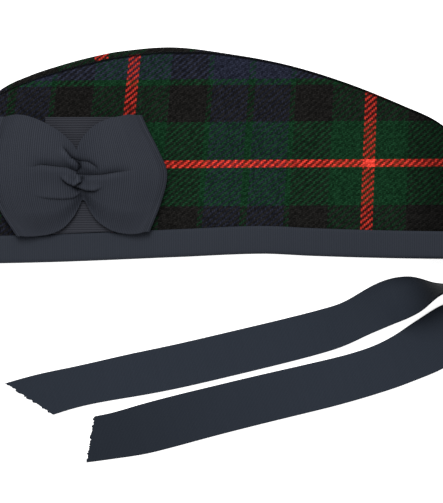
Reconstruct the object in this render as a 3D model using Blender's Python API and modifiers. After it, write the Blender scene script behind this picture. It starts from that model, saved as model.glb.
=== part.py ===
"""A folding wool cap with ribbon tails, lying flat on its right side.

Metres. X runs along the cap with its front at -X, Y runs from the mouth to the ridge, and Z is up.
The origin lies on the resting face, under the middle of the cap. The bow is on the upper side.
"""

import math

import bmesh
import bpy
from mathutils import Vector

# The cap's flat outline. A flat length of 300 mm is half of the way round a 58 cm head.
CAP_LENGTH = 0.300
CAP_HEIGHT = 0.123
MOUTH_Y = -0.0545

# Cloth and ribbon
WOOL = 0.002
RIBBON = 0.001
CLEARANCE = 0.0003
SEAM_LIP = 0.0006

# How far apart the two sides stand, outside to outside, and how the cloth turns at edges
MOUTH_THICKNESS = 0.0275
WAIST_THICKNESS = 0.0215
RIDGE_THICKNESS = 0.0195
WAIST_LEVEL = 0.55
END_RADIUS = 0.0065
RIDGE_ROLL = 0.0035
RIDGE_STEP = 0.003
SETTLING = 0.015
FOLD_DEPTH = 0.038
FOLD_FULLNESS = 0.8
FOLD_OPENING = 0.001

# The ribbon folded over the mouth edge
BAND_WIDTH = 0.016
BAND_INNER_WIDTH = 0.014

# The bow and the strip of ribbon under it, set out from the cap's front end and from its mouth
BOW_X = 0.0636 - CAP_LENGTH / 2
BOW_Y = MOUTH_Y + 0.0493
BOW_LENGTH = 0.101
BOW_WIDTH = 0.0725
BOW_LOFT = 0.0130
BOW_END_LOFT = 0.0050
BOW_EDGE_LOFT = 0.8
PLEAT_DEPTH = 0.0009
PLEATS = 3
PLEAT_REACH = 0.3
BOW_END_START = 0.78
BACKING_WIDTH = 0.040
BACKING_TOP = MOUTH_Y + 0.082

# The two tails
TAIL_WIDTH = 0.0265
TAIL_START_Y = MOUTH_Y + 0.0105
UPPER_TAIL_LENGTH = 0.297
LOWER_TAIL_LENGTH = 0.281
UPPER_CUT_SLANT = 0.0214
LOWER_CUT_SLANT = -0.0084
SLANT_REACH = 0.053

# Ridge seen from the side: share of the length from the front end, share of the height
RIDGE = (
    (0.000, 0.600), (0.027, 0.712), (0.058, 0.800), (0.116, 0.868), (0.174, 0.915), (0.232, 0.953),
    (0.290, 0.981), (0.390, 1.000), (0.492, 0.972), (0.608, 0.920), (0.724, 0.835), (0.840, 0.722),
    (0.911, 0.637), (0.967, 0.500), (1.000, 0.420),
)

# Mouth edge: share of the length, rise as a share of the height
MOUTH = (
    (0.000, -0.024), (0.174, -0.014), (0.405, 0.009), (0.560, 0.024), (0.660, 0.014),
    (0.780, 0.005), (0.910, 0.000), (1.000, 0.000),
)

# Front and back seams: level from mouth to ridge, inset at the front, inset at the back,
# both as shares of the length
SEAMS = (
    (0.00, 0.000, 0.000), (0.38, 0.000, 0.000), (0.72, 0.008, 0.010), (1.00, 0.027, 0.033),
)

# How far the upper side's ridge stands back from the lower side's: share of the length, share of the step
RIDGE_SETBACK = (
    (0.00, 0.0), (0.03, 0.0), (0.07, 1.0), (0.40, 1.0), (0.48, 0.35), (0.92, 0.3), (1.00, 0.0),
)

# One loop of the bow from its pinched centre to its end: way out, width across, loft, all as shares
BOW_LOOP = (
    (0.00, 0.32, 0.42), (0.09, 0.57, 0.62), (0.21, 0.77, 0.84), (0.41, 0.92, 1.00),
    (0.65, 0.99, 0.96), (0.88, 1.00, 0.72), (1.00, 1.00, 0.45),
)

# Reach of the two loops across the ribbon: share of the width from the ridge side, left reach, right reach
BOW_REACH = (
    (0.00, 0.90, 0.71), (0.12, 0.95, 0.78), (0.30, 0.99, 0.90), (0.50, 1.00, 1.00),
    (0.75, 0.92, 0.93), (1.00, 0.71, 0.80),
)

# Tails from the back of the cap to the cut end: share of the length, degrees turned, degrees of tilt
UPPER_TAIL = (
    (0.00, 0, 90), (0.028, 0, 90), (0.104, 75, 90), (0.160, 76, 75), (0.203, 74, 41), (0.235, 72, 20),
    (0.270, 67, 0), (0.32, 66, 0), (0.37, 73, 0), (0.45, 76.5, 0), (1.00, 76.5, 0),
)
LOWER_TAIL = (
    (0.00, 0, 90), (0.045, 0, 90), (0.12, 26.5, 78), (0.20, 53, 34), (0.265, 65, 4), (0.33, 65, 0),
    (0.39, 74, 0), (0.50, 75.5, 0), (0.85, 75.5, 0), (1.00, 80, 0),
)

# Colours from the cloth's mean and from the ribbon, in linear light
WOOL_GREEN = (0.013, 0.028, 0.016, 1.0)
BAND_GREY = (0.033, 0.037, 0.050, 1.0)
TAIL_GREY = (0.024, 0.030, 0.042, 1.0)


def read_rows(rows, x, column=1):
    """Smooth value at x of one column of a table whose first column rises."""
    if x <= rows[0][0]:
        return rows[0][column]
    if x >= rows[-1][0]:
        return rows[-1][column]
    k = max(i for i in range(len(rows) - 1) if rows[i][0] <= x)
    before = rows[max(k - 1, 0)]
    low = rows[k]
    high = rows[k + 1]
    after = rows[min(k + 2, len(rows) - 1)]
    span = high[0] - low[0]
    slope_low = (high[column] - before[column]) / (high[0] - before[0]) * span
    slope_high = (after[column] - low[column]) / (after[0] - low[0]) * span
    t = (x - low[0]) / span
    return ((2 * t**3 - 3 * t**2 + 1) * low[column] + (t**3 - 2 * t**2 + t) * slope_low
            + (3 * t**2 - 2 * t**3) * high[column] + (t**3 - t**2) * slope_high)


def mix(a, b, t):
    return a + (b - a) * t


def ease(t):
    t = min(max(t, 0.0), 1.0)
    return t * t * (3.0 - 2.0 * t)


def share_along(x):
    return x / CAP_LENGTH + 0.5


def ridge_y(x):
    return MOUTH_Y + CAP_HEIGHT * read_rows(RIDGE, share_along(x))


def band_edge_y(x):
    """Lowest line of the ribbon round the mouth."""
    return MOUTH_Y + CAP_HEIGHT * read_rows(MOUTH, share_along(x))


# The ribbon turns round the cloth's edge in a half circle on the middle of the wall
TURN_RADIUS = WOOL / 2 + CLEARANCE + RIBBON / 2


def wool_edge_y(x):
    return band_edge_y(x) + TURN_RADIUS + RIBBON / 2


def side_ridge_y(x, upper):
    setback = RIDGE_STEP * read_rows(RIDGE_SETBACK, share_along(x)) if upper else 0.0
    return ridge_y(x) - setback


def seam_x(level, at_back):
    inset = CAP_LENGTH * read_rows(SEAMS, level, 2 if at_back else 1)
    return CAP_LENGTH / 2 - inset if at_back else inset - CAP_LENGTH / 2


def bottom_z(distance):
    """Height of the lower side over the surface: ribbon lifts it near the mouth, then it lies flat."""
    return (CLEARANCE + RIBBON) * (1.0 - ease((distance - BAND_WIDTH) / SETTLING))


def thickness(middle, level):
    """Outside to outside. middle runs from 0 to 1 between the rounded ends."""
    low = mix(MOUTH_THICKNESS, WAIST_THICKNESS, ease(level / WAIST_LEVEL))
    full = mix(low, RIDGE_THICKNESS, ease((level - WAIST_LEVEL) / (1.0 - WAIST_LEVEL)))
    return 2 * END_RADIUS + (full - 2 * END_RADIUS) * math.sin(math.pi * middle) ** 2


def roll_radius(middle):
    return min(RIDGE_ROLL, (thickness(middle, 1.0) - FOLD_OPENING) / 4)


# Columns of a side's grid in all, and round each end
SIDE_COLUMNS = 40
END_COLUMNS = 5


def loop_point(along, level, lift, upper, seam_gap):
    """Outer point of a side at one level, as x, z, the inward direction, and the middle share."""
    sign = 1.0 if upper else -1.0
    front = seam_x(level, False) + END_RADIUS
    back = seam_x(level, True) - END_RADIUS
    seam_z = lift + END_RADIUS
    column = along * SIDE_COLUMNS
    middle = min(max((column - END_COLUMNS) / (SIDE_COLUMNS - 2 * END_COLUMNS), 0.0), 1.0)
    if 0.0 < middle < 1.0:
        z = lift + thickness(middle, level) if upper else lift
        return mix(front, back, middle), z, (0.0, -sign), middle
    from_seam = min(column, SIDE_COLUMNS - column)
    angle = math.pi / 2 * max(from_seam - 1.0, 0.0) / (END_COLUMNS - 1)
    outward = -1.0 if along < 0.5 else 1.0
    centre = front if along < 0.5 else back
    rise = mix(SEAM_LIP, END_RADIUS, math.sin(angle))
    if from_seam < 1.0:
        rise = mix(seam_gap / 2, SEAM_LIP, from_seam)
    return (centre + outward * END_RADIUS * math.cos(angle), seam_z + sign * rise,
            (-outward * math.cos(angle), -sign * math.sin(angle)), middle)


# Rows of a side's grid: beside the binding, where it settles, up to the ridge, in the roll, and the
# lip at the crown's seam
BAND_ROWS = 2
SETTLING_ROWS = 2
WALL_ROWS = 9
ROLL_ROWS = 3
SIDE_ROWS = WALL_ROWS + ROLL_ROWS + 1


def row_distance(row, height):
    """Distance of a row of a side's grid from the mouth edge of the cloth."""
    settled = BAND_ROWS + SETTLING_ROWS
    if row < BAND_ROWS:
        return BAND_WIDTH * row / BAND_ROWS
    if row < settled:
        return BAND_WIDTH + SETTLING * (row - BAND_ROWS) / SETTLING_ROWS
    return mix(BAND_WIDTH + SETTLING, height, (row - settled) / (WALL_ROWS - settled))


def side_point(along, up, upper):
    """Outer surface of a side panel, from the mouth edge over the roll to the crown's seam."""
    row = up * SIDE_ROWS
    x, _, _, middle = loop_point(along, min(row / WALL_ROWS, 1.0), 0.0, upper, CLEARANCE)
    roll = roll_radius(middle)
    height = side_ridge_y(x, upper) - roll - wool_edge_y(x)
    distance = row_distance(min(row, WALL_ROWS), height)
    level = distance / height
    x, z, inward, _ = loop_point(along, level, bottom_z(distance), upper, CLEARANCE)
    turn = math.pi / 2 * min(max(row - WALL_ROWS, 0.0) / ROLL_ROWS, 1.0)
    y = mix(wool_edge_y(x), side_ridge_y(x, upper) - roll, level) + roll * math.sin(turn)
    shift = (roll - SEAM_LIP - CLEARANCE / 2) * (1.0 - math.cos(turn))
    shift += SEAM_LIP * max(row - WALL_ROWS - ROLL_ROWS, 0.0)
    return Vector((x + inward[0] * shift, y, z + inward[1] * shift))


def upper_side_z(x, y):
    """Height of the upper side's outer surface over a place in plan."""
    low = wool_edge_y(x)
    high = side_ridge_y(x, True) - RIDGE_ROLL
    distance = min(max(y - low, 0.0), high - low)
    level = distance / (high - low)
    front = seam_x(level, False) + END_RADIUS
    back = seam_x(level, True) - END_RADIUS
    middle = min(max((x - front) / (back - front), 0.0), 1.0)
    return bottom_z(distance) + thickness(middle, level)


# The crown's grid: columns past each end of the fold, and rows of each half from its seam to the crease
CROWN_COLUMNS = 28
TIP_COLUMNS = 2
LEG_ROWS = 2
CREASE_ROWS = 2
HALF_CROWN_ROWS = 1 + ROLL_ROWS + LEG_ROWS + CREASE_ROWS
TIP_REACH = 0.8


def crown_point(along, across):
    """Outer surface of the crown: rolled edges, two legs and the crease between them.

    along runs from the front tip to the back tip. across runs from the upper seam, at 0, over the
    crease, at 0.5, to the lower seam, at 1.
    """
    front = seam_x(1.0, False) + END_RADIUS
    back = seam_x(1.0, True) - END_RADIUS
    column = along * CROWN_COLUMNS
    middle = min(max((column - TIP_COLUMNS) / (CROWN_COLUMNS - 2 * TIP_COLUMNS), 0.0), 1.0)
    roll = roll_radius(middle)
    half = thickness(middle, 1.0) / 2 - roll - CLEARANCE / 2
    opening = half - roll
    past_end = TIP_REACH * max(1.0 - min(column, CROWN_COLUMNS - column) / TIP_COLUMNS, 0.0)
    x = mix(front, back, middle) + math.copysign(half * past_end, along - 0.5)
    narrowing = math.sqrt(1.0 - past_end**2)
    depth = FOLD_DEPTH * math.sin(math.pi * middle) ** FOLD_FULLNESS
    full_depth = max(depth, half)
    row = (1.0 - abs(across - 0.5) * 2) * HALF_CROWN_ROWS
    edge_turn = math.pi / 2 * min(max(row - 1.0, 0.0) / ROLL_ROWS, 1.0)
    down = min(max(row - 1.0 - ROLL_ROWS, 0.0) / LEG_ROWS, 1.0)
    crease_turn = math.pi / 2 * max(row - 1.0 - ROLL_ROWS - LEG_ROWS, 0.0) / CREASE_ROWS
    z = half - SEAM_LIP * min(row, 1.0) - (roll - SEAM_LIP) * math.sin(edge_turn)
    z -= opening * (1.0 - math.cos(crease_turn))
    drop = roll * (1.0 - math.cos(edge_turn))
    drop += (full_depth - half) * down + opening * math.sin(crease_turn)
    folded = min(depth / full_depth, 1.0)
    z = mix(half * (1.0 - row / HALF_CROWN_ROWS), z, folded) * narrowing
    edge_share = (1 + ROLL_ROWS) / (2 * HALF_CROWN_ROWS)
    over = ease((across - edge_share) / (1.0 - 2 * edge_share))
    edge = mix(side_ridge_y(x, True), side_ridge_y(x, False), over)
    middle_z = thickness(middle, 1.0) / 2
    return Vector((x, edge - drop * folded, middle_z + math.copysign(z, 0.5 - across)))


# Rows of the binding's grid: in each leg, and in the turn between them
BAND_LEG_ROWS = 2
BAND_TURN_ROWS = 4
BINDING_ROWS = 2 * BAND_LEG_ROWS + BAND_TURN_ROWS


def binding_point(around, across):
    """Middle surface of the ribbon round the mouth. across runs from the outer leg's top, at 0."""
    upper = around < 0.5
    along = around * 2 if upper else 2.0 - around * 2
    x, _, _, middle = loop_point(along, 0.0, 0.0, upper, 0.0)
    edge = wool_edge_y(x)
    row = across * BINDING_ROWS
    outer_leg = max(1.0 - row / BAND_LEG_ROWS, 0.0)
    inner_leg = max((row - BAND_LEG_ROWS - BAND_TURN_ROWS) / BAND_LEG_ROWS, 0.0)
    turn = math.pi * min(max((row - BAND_LEG_ROWS) / BAND_TURN_ROWS, 0.0), 1.0)
    y = edge - TURN_RADIUS * math.sin(turn)
    y += (band_edge_y(x) + BAND_WIDTH - edge) * outer_leg + BAND_INNER_WIDTH * inner_leg
    distance = max(y - edge, 0.0)
    level = distance / (side_ridge_y(x, upper) - roll_radius(middle) - edge)
    x, z, inward, _ = loop_point(along, level, bottom_z(distance), upper, 0.0)
    shift = WOOL / 2 - TURN_RADIUS * math.cos(turn)
    return Vector((x + inward[0] * shift, y, z + inward[1] * shift))


# Ribbon that lies on the upper side, on the strip or on the binding
ON_WOOL = CLEARANCE + RIBBON / 2
ON_RIBBON = 2 * CLEARANCE + 1.5 * RIBBON


BACKING_COLUMNS = 4
BACKING_ROWS = 8


def backing_point(across, up):
    """Middle surface of the strip, from the binding's top edge to its own top."""
    x = BOW_X + (across - 0.5) * BACKING_WIDTH
    y = mix(band_edge_y(x) + BAND_WIDTH + CLEARANCE, BACKING_TOP, up)
    return Vector((x, y, upper_side_z(x, y) + ON_WOOL))


def bow_plan(way, across):
    """Plan place on the bow. way runs from -1 at the left end to 1, across from its ridge side."""
    out = abs(way)
    reach = read_rows(BOW_REACH, across, 1 if way < 0.0 else 2) * BOW_LENGTH / 2
    width = read_rows(BOW_LOOP, out, 1) * BOW_WIDTH
    return BOW_X + math.copysign(out * reach, way), BOW_Y + (0.5 - across) * width


# The bow's grid: rows across the ribbon, columns round it, and those that go round each end
BOW_ROWS = 12
BOW_COLUMNS = 40
BOW_END_COLUMNS = 2


def bow_point(around, across):
    """Middle surface of the bow: the upper layer, one end, the lower layer and the other end."""
    layer_columns = BOW_COLUMNS // 2
    column = round(around * BOW_COLUMNS) % BOW_COLUMNS
    lower = column >= layer_columns
    column %= layer_columns
    side = 1.0 if lower else -1.0
    end_radius = (BOW_END_LOFT - RIBBON) / 2
    if column < BOW_END_COLUMNS:
        turn = math.pi * column / BOW_END_COLUMNS
        x, y = bow_plan(side, across)
        x -= side * end_radius * (1.0 - math.sin(turn))
        rise = end_radius * (1.0 + side * math.cos(turn))
        return Vector((x, y, upper_side_z(x, y) + ON_RIBBON + rise))
    way = side * mix(1.0, -1.0, (column - BOW_END_COLUMNS) / (layer_columns - BOW_END_COLUMNS))
    x, y = bow_plan(way, across)
    out = abs(way)
    ending = ease((out - BOW_END_START) / (1.0 - BOW_END_START))
    x -= math.copysign(end_radius * ending, way)
    rise = 0.0
    if not lower:
        crowned = mix(BOW_EDGE_LOFT, 1.0, math.sin(math.pi * across))
        open_loft = (BOW_LOFT - RIBBON) * read_rows(BOW_LOOP, out, 2) * crowned
        rise = mix(open_loft, 2 * end_radius, ending)
        rise += PLEAT_DEPTH * math.cos(2 * math.pi * PLEATS * across) * (1.0 - ease(out / PLEAT_REACH))
    return Vector((x, y, upper_side_z(x, y) + ON_RIBBON + rise))


def tail_route(rows, length, start, steps):
    """Centre line in plan as (x, y, direction, tilt), found by walking along the turns."""
    x, y = start
    route = []
    for k in range(steps + 1):
        share = k / steps
        direction = math.radians(-90.0 - read_rows(rows, share, 1))
        tilt = math.radians(min(max(read_rows(rows, share, 2), 0.0), 90.0))
        route.append((x, y, direction, tilt))
        x += math.cos(direction) * length / steps
        y += math.sin(direction) * length / steps
    return route


ROUTE_STEPS = 600
TAIL_COLUMNS = 44


def tail_sheet(rows, length, start, slant):
    """Place function of a tail. across runs from the cap's side of the ribbon outwards."""
    route = tail_route(rows, length + abs(slant), start, ROUTE_STEPS)

    def place(along, across):
        out = across - 0.5
        way = along * length
        slanting = ease((way - length + SLANT_REACH) / SLANT_REACH)
        way -= slant * out * slanting
        x, y, direction, tilt = route[round(way / (length + abs(slant)) * ROUTE_STEPS)]
        to_cap = (math.sin(direction), -math.cos(direction))
        reach = out * TAIL_WIDTH
        z = RIBBON / 2 * math.cos(tilt) + TAIL_WIDTH / 2 * math.sin(tilt)
        flat_reach = reach * math.cos(tilt)
        return Vector((x - to_cap[0] * flat_reach, y - to_cap[1] * flat_reach, z + reach * math.sin(tilt)))

    return place


def add_material(name, colour, roughness):
    material = bpy.data.materials.new(name)
    material.use_nodes = True
    shader = material.node_tree.nodes["Principled BSDF"]
    shader.inputs["Base Color"].default_value = colour
    shader.inputs["Roughness"].default_value = roughness
    shader.inputs["Metallic"].default_value = 0.0
    return material


def add_sheet(name, columns, rows, place, wall, offset, material, turned_over=False):
    """A grid set in place as an open surface, with its wall given by Solidify."""
    bm = bmesh.new()
    bmesh.ops.create_grid(bm, x_segments=columns, y_segments=rows, size=1.0)
    for vert in bm.verts:
        vert.co = place((vert.co.x + 1.0) / 2, (vert.co.y + 1.0) / 2)
    bmesh.ops.remove_doubles(bm, verts=bm.verts, dist=1e-6)
    if turned_over:
        bmesh.ops.reverse_faces(bm, faces=bm.faces)
    mesh = bpy.data.meshes.new(name)
    bm.to_mesh(mesh)
    bm.free()
    mesh.shade_smooth()
    mesh.materials.append(material)
    sheet = bpy.data.objects.new(name, mesh)
    cap.objects.link(sheet)
    solidify = sheet.modifiers.new("Wall", "SOLIDIFY")
    solidify.thickness = wall
    solidify.offset = offset
    solidify.use_even_offset = True
    return sheet


for old in list(bpy.data.objects):
    bpy.data.objects.remove(old)

cap = bpy.data.collections.new("tartan_cap")
bpy.context.scene.collection.children.link(cap)

wool = add_material("tartan_wool", WOOL_GREEN, 0.9)
band = add_material("band_ribbon", BAND_GREY, 0.7)
tails = add_material("tail_ribbon", TAIL_GREY, 0.75)

add_sheet("side_left", SIDE_COLUMNS, SIDE_ROWS, lambda u, v: side_point(u, v, True), WOOL, -1.0, wool)
add_sheet("side_right", SIDE_COLUMNS, SIDE_ROWS, lambda u, v: side_point(u, v, False), WOOL, -1.0, wool, True)
add_sheet("crown", CROWN_COLUMNS, 2 * HALF_CROWN_ROWS, crown_point, WOOL, -1.0, wool)
add_sheet("binding", 2 * SIDE_COLUMNS, BINDING_ROWS, binding_point, RIBBON, 0.0, band)
add_sheet("bow_backing", BACKING_COLUMNS, BACKING_ROWS, backing_point, RIBBON, 0.0, band)
add_sheet("bow", BOW_COLUMNS, BOW_ROWS, bow_point, RIBBON, 0.0, band)

# The upper tail is sewn at the back of the binding, and the lower one over it
back_face = CAP_LENGTH / 2 + CLEARANCE + RIBBON
upper_start = (back_face + CLEARANCE + RIBBON / 2, TAIL_START_Y)
lower_start = (back_face + 2 * CLEARANCE + 1.5 * RIBBON, TAIL_START_Y)
upper_tail = tail_sheet(UPPER_TAIL, UPPER_TAIL_LENGTH, upper_start, UPPER_CUT_SLANT)
lower_tail = tail_sheet(LOWER_TAIL, LOWER_TAIL_LENGTH, lower_start, LOWER_CUT_SLANT)
add_sheet("tail_upper", TAIL_COLUMNS, 2, upper_tail, RIBBON, 0.0, tails)
add_sheet("tail_lower", TAIL_COLUMNS, 2, lower_tail, RIBBON, 0.0, tails)
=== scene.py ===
"""A folding tartan wool cap with a ribbon bow and two tails, lying flat on its right side.

Metres, in the same frame as the CAD: X along the cap with its front at -X, Y from the mouth to the ridge.
"""

import math
import random

import bmesh
import bpy
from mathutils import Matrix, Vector


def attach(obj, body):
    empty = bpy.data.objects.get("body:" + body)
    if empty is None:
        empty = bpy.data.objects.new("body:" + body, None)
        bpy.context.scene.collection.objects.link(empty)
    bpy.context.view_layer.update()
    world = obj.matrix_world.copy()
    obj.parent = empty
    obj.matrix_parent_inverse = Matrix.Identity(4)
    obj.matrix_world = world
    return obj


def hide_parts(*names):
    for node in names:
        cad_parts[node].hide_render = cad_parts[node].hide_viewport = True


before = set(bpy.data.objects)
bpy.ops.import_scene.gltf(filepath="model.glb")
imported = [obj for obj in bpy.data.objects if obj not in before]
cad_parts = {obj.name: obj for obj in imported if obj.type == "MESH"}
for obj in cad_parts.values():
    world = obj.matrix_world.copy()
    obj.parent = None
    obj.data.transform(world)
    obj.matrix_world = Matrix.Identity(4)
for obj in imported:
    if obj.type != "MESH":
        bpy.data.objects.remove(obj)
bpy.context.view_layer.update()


# The two side panels are cut from worsted tartan in a 2/2 twill and sewn together up the front and
# the back. The upper one carries the bow, and the cap lies on the other. Their top edges roll over
# into the seam of the crown, and their mouth edge goes into the ribbon binding.
CAP_LENGTH = 0.300
CAP_HEIGHT = 0.123
MOUTH_Y = -0.0545
WOOL = 0.002
RIBBON = 0.001
CLEARANCE = 0.0003
SEAM_LIP = 0.0006
MOUTH_THICKNESS = 0.0275
WAIST_THICKNESS = 0.0215
RIDGE_THICKNESS = 0.0195
WAIST_LEVEL = 0.55
END_RADIUS = 0.0065
RIDGE_ROLL = 0.0035
RIDGE_STEP = 0.003
SETTLING = 0.015
BAND_WIDTH = 0.016

# Ridge seen from the side: share of the length from the front end, share of the height
RIDGE = (
    (0.000, 0.600), (0.027, 0.712), (0.058, 0.800), (0.116, 0.868), (0.174, 0.915), (0.232, 0.953),
    (0.290, 0.981), (0.390, 1.000), (0.492, 0.972), (0.608, 0.920), (0.724, 0.835), (0.840, 0.722),
    (0.911, 0.637), (0.967, 0.500), (1.000, 0.420),
)

# Mouth edge: share of the length, rise as a share of the height
MOUTH = (
    (0.000, -0.024), (0.174, -0.014), (0.405, 0.009), (0.560, 0.024), (0.660, 0.014),
    (0.780, 0.005), (0.910, 0.000), (1.000, 0.000),
)

# Front and back seams: level from mouth to ridge, inset at the front, inset at the back
SEAMS = (
    (0.00, 0.000, 0.000), (0.38, 0.000, 0.000), (0.72, 0.008, 0.010), (1.00, 0.027, 0.033),
)

# How far the upper side's ridge stands back from the lower side's
RIDGE_SETBACK = (
    (0.00, 0.0), (0.03, 0.0), (0.07, 1.0), (0.40, 1.0), (0.48, 0.35), (0.92, 0.2), (1.00, 0.0),
)


def read_rows(rows, x, column=1):
    """Smooth value at x of one column of a table whose first column rises."""
    if x <= rows[0][0]:
        return rows[0][column]
    if x >= rows[-1][0]:
        return rows[-1][column]
    k = max(i for i in range(len(rows) - 1) if rows[i][0] <= x)
    before = rows[max(k - 1, 0)]
    low = rows[k]
    high = rows[k + 1]
    after = rows[min(k + 2, len(rows) - 1)]
    span = high[0] - low[0]
    slope_low = (high[column] - before[column]) / (high[0] - before[0]) * span
    slope_high = (after[column] - low[column]) / (after[0] - low[0]) * span
    t = (x - low[0]) / span
    return ((2 * t**3 - 3 * t**2 + 1) * low[column] + (t**3 - 2 * t**2 + t) * slope_low
            + (3 * t**2 - 2 * t**3) * high[column] + (t**3 - t**2) * slope_high)


def mix(a, b, t):
    return a + (b - a) * t


def ease(t):
    t = min(max(t, 0.0), 1.0)
    return t * t * (3.0 - 2.0 * t)


def share_along(x):
    return x / CAP_LENGTH + 0.5


def ridge_y(x):
    return MOUTH_Y + CAP_HEIGHT * read_rows(RIDGE, share_along(x))


def band_edge_y(x):
    return MOUTH_Y + CAP_HEIGHT * read_rows(MOUTH, share_along(x))


# The ribbon turns round the cloth's edge in a half circle on the middle of the wall
TURN_RADIUS = WOOL / 2 + CLEARANCE + RIBBON / 2


def wool_edge_y(x):
    return band_edge_y(x) + TURN_RADIUS + RIBBON / 2


def side_ridge_y(x, upper):
    setback = RIDGE_STEP * read_rows(RIDGE_SETBACK, share_along(x)) if upper else 0.0
    return ridge_y(x) - setback


def seam_x(level, at_back):
    inset = CAP_LENGTH * read_rows(SEAMS, level, 2 if at_back else 1)
    return CAP_LENGTH / 2 - inset if at_back else inset - CAP_LENGTH / 2


def bottom_z(distance):
    """Height of the lower side over the surface: ribbon lifts it near the mouth, then it lies flat."""
    return (CLEARANCE + RIBBON) * (1.0 - ease((distance - BAND_WIDTH) / SETTLING))


def thickness(middle, level):
    """Outside to outside. middle runs from 0 to 1 between the rounded ends."""
    low = mix(MOUTH_THICKNESS, WAIST_THICKNESS, ease(level / WAIST_LEVEL))
    full = mix(low, RIDGE_THICKNESS, ease((level - WAIST_LEVEL) / (1.0 - WAIST_LEVEL)))
    return 2 * END_RADIUS + (full - 2 * END_RADIUS) * math.sin(math.pi * middle) ** 2


def roll_radius(middle):
    return min(RIDGE_ROLL, (thickness(middle, 1.0) - FOLD_OPENING) / 4)


# Parts of the way round a side: forty in all, five round each end, of which one is the seam's lip
SIDE_PARTS = 40
END_PARTS = 5
FOLD_OPENING = 0.001


def loop_point(along, level, lift, upper, seam_gap):
    """Outer point of a side at one level, as x, z, the inward direction, and the middle share."""
    sign = 1.0 if upper else -1.0
    front = seam_x(level, False) + END_RADIUS
    back = seam_x(level, True) - END_RADIUS
    seam_z = lift + END_RADIUS
    part = along * SIDE_PARTS
    middle = min(max((part - END_PARTS) / (SIDE_PARTS - 2 * END_PARTS), 0.0), 1.0)
    if 0.0 < middle < 1.0:
        z = lift + thickness(middle, level) if upper else lift
        return mix(front, back, middle), z, (0.0, -sign), middle
    from_seam = min(part, SIDE_PARTS - part)
    angle = math.pi / 2 * max(from_seam - 1.0, 0.0) / (END_PARTS - 1)
    outward = -1.0 if along < 0.5 else 1.0
    centre = front if along < 0.5 else back
    rise = mix(SEAM_LIP, END_RADIUS, math.sin(angle))
    if from_seam < 1.0:
        rise = mix(seam_gap / 2, SEAM_LIP, from_seam)
    return (centre + outward * END_RADIUS * math.cos(angle), seam_z + sign * rise,
            (-outward * math.cos(angle), -sign * math.sin(angle)), middle)


# Parts of the way up a side: behind the binding, where it settles, up to the ridge, the roll, the lip
BAND_PARTS = 2
SETTLING_PARTS = 2
WALL_PARTS = 9
ROLL_PARTS = 3
SIDE_UP_PARTS = WALL_PARTS + ROLL_PARTS + 1


def part_distance(part, height):
    """Distance of a part of the way up a side from the mouth edge of the cloth."""
    settled = BAND_PARTS + SETTLING_PARTS
    if part < BAND_PARTS:
        return BAND_WIDTH * part / BAND_PARTS
    if part < settled:
        return BAND_WIDTH + SETTLING * (part - BAND_PARTS) / SETTLING_PARTS
    return mix(BAND_WIDTH + SETTLING, height, (part - settled) / (WALL_PARTS - settled))


def side_point(along, up, upper):
    """Outer surface of a side panel, and its place in the cloth."""
    part = up * SIDE_UP_PARTS
    x, _, _, middle = loop_point(along, min(part / WALL_PARTS, 1.0), 0.0, upper, CLEARANCE)
    roll = roll_radius(middle)
    height = side_ridge_y(x, upper) - roll - wool_edge_y(x)
    distance = part_distance(min(part, WALL_PARTS), height)
    level = distance / height
    x, z, inward, _ = loop_point(along, level, bottom_z(distance), upper, CLEARANCE)
    turn = math.pi / 2 * min(max(part - WALL_PARTS, 0.0) / ROLL_PARTS, 1.0)
    start_y = mix(wool_edge_y(x), side_ridge_y(x, upper) - roll, level)
    shift = (roll - SEAM_LIP - CLEARANCE / 2) * (1.0 - math.cos(turn))
    shift += SEAM_LIP * max(part - WALL_PARTS - ROLL_PARTS, 0.0)
    place = Vector((x + inward[0] * shift, start_y + roll * math.sin(turn), z + inward[1] * shift))
    round_end = END_RADIUS * math.asin(min(abs(inward[0]), 1.0))
    cloth_x = x + math.copysign(round_end - END_RADIUS * abs(inward[0]), along - 0.5)
    return place, (cloth_x, start_y + roll * turn)


def cut_cloth(name, columns, rows, point, wall, offset, turned_over=False, even=True):
    """A grid laid where point says: its place, the cloth's own map in metres, and the painted shade that
    darkens its colour.
    """
    bm = bmesh.new()
    bmesh.ops.create_grid(bm, x_segments=columns, y_segments=rows, size=1.0)
    cloth_map = bm.loops.layers.uv.new("cloth")
    shade_layer = bm.verts.layers.float.new("shade")
    laid = {vert: point((vert.co.x + 1.0) / 2, (vert.co.y + 1.0) / 2) for vert in bm.verts}
    for face in bm.faces:
        for loop in face.loops:
            loop[cloth_map].uv = laid[loop.vert][1]
    for vert, (place, _, shade) in laid.items():
        vert.co = place
        vert[shade_layer] = shade
    bmesh.ops.remove_doubles(bm, verts=bm.verts, dist=1e-6)
    if turned_over:
        bmesh.ops.reverse_faces(bm, faces=bm.faces)
    mesh = bpy.data.meshes.new(name)
    bm.to_mesh(mesh)
    bm.free()
    mesh.shade_smooth()
    piece = bpy.data.objects.new(name, mesh)
    bpy.context.scene.collection.objects.link(piece)
    solidify = piece.modifiers.new("Wall", "SOLIDIFY")
    solidify.thickness = wall
    solidify.offset = offset
    solidify.use_even_offset = even
    return piece


# The check, as cut lengths of coloured yarn from one turning stripe to the next, in millimetres
GREEN_YARN = (0.0046, 0.0242, 0.0095, 1.0)
NAVY_YARN = (0.0126, 0.0144, 0.0255, 1.0)
BLACK_YARN = (0.0075, 0.0071, 0.0067, 1.0)
RED_YARN = (0.720, 0.048, 0.031, 1.0)
WARP_SETT = (
    (2.3, GREEN_YARN), (20.3, NAVY_YARN), (2.9, GREEN_YARN), (21.5, BLACK_YARN), (19.1, GREEN_YARN),
    (3.5, RED_YARN),
)
WEFT_SETT = (
    (2.3, GREEN_YARN), (20.3, NAVY_YARN), (3.6, GREEN_YARN), (21.3, BLACK_YARN), (22.0, GREEN_YARN),
    (2.4, RED_YARN),
)
WARP_THREAD = 0.00099
WEFT_THREAD = 0.000885

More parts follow.
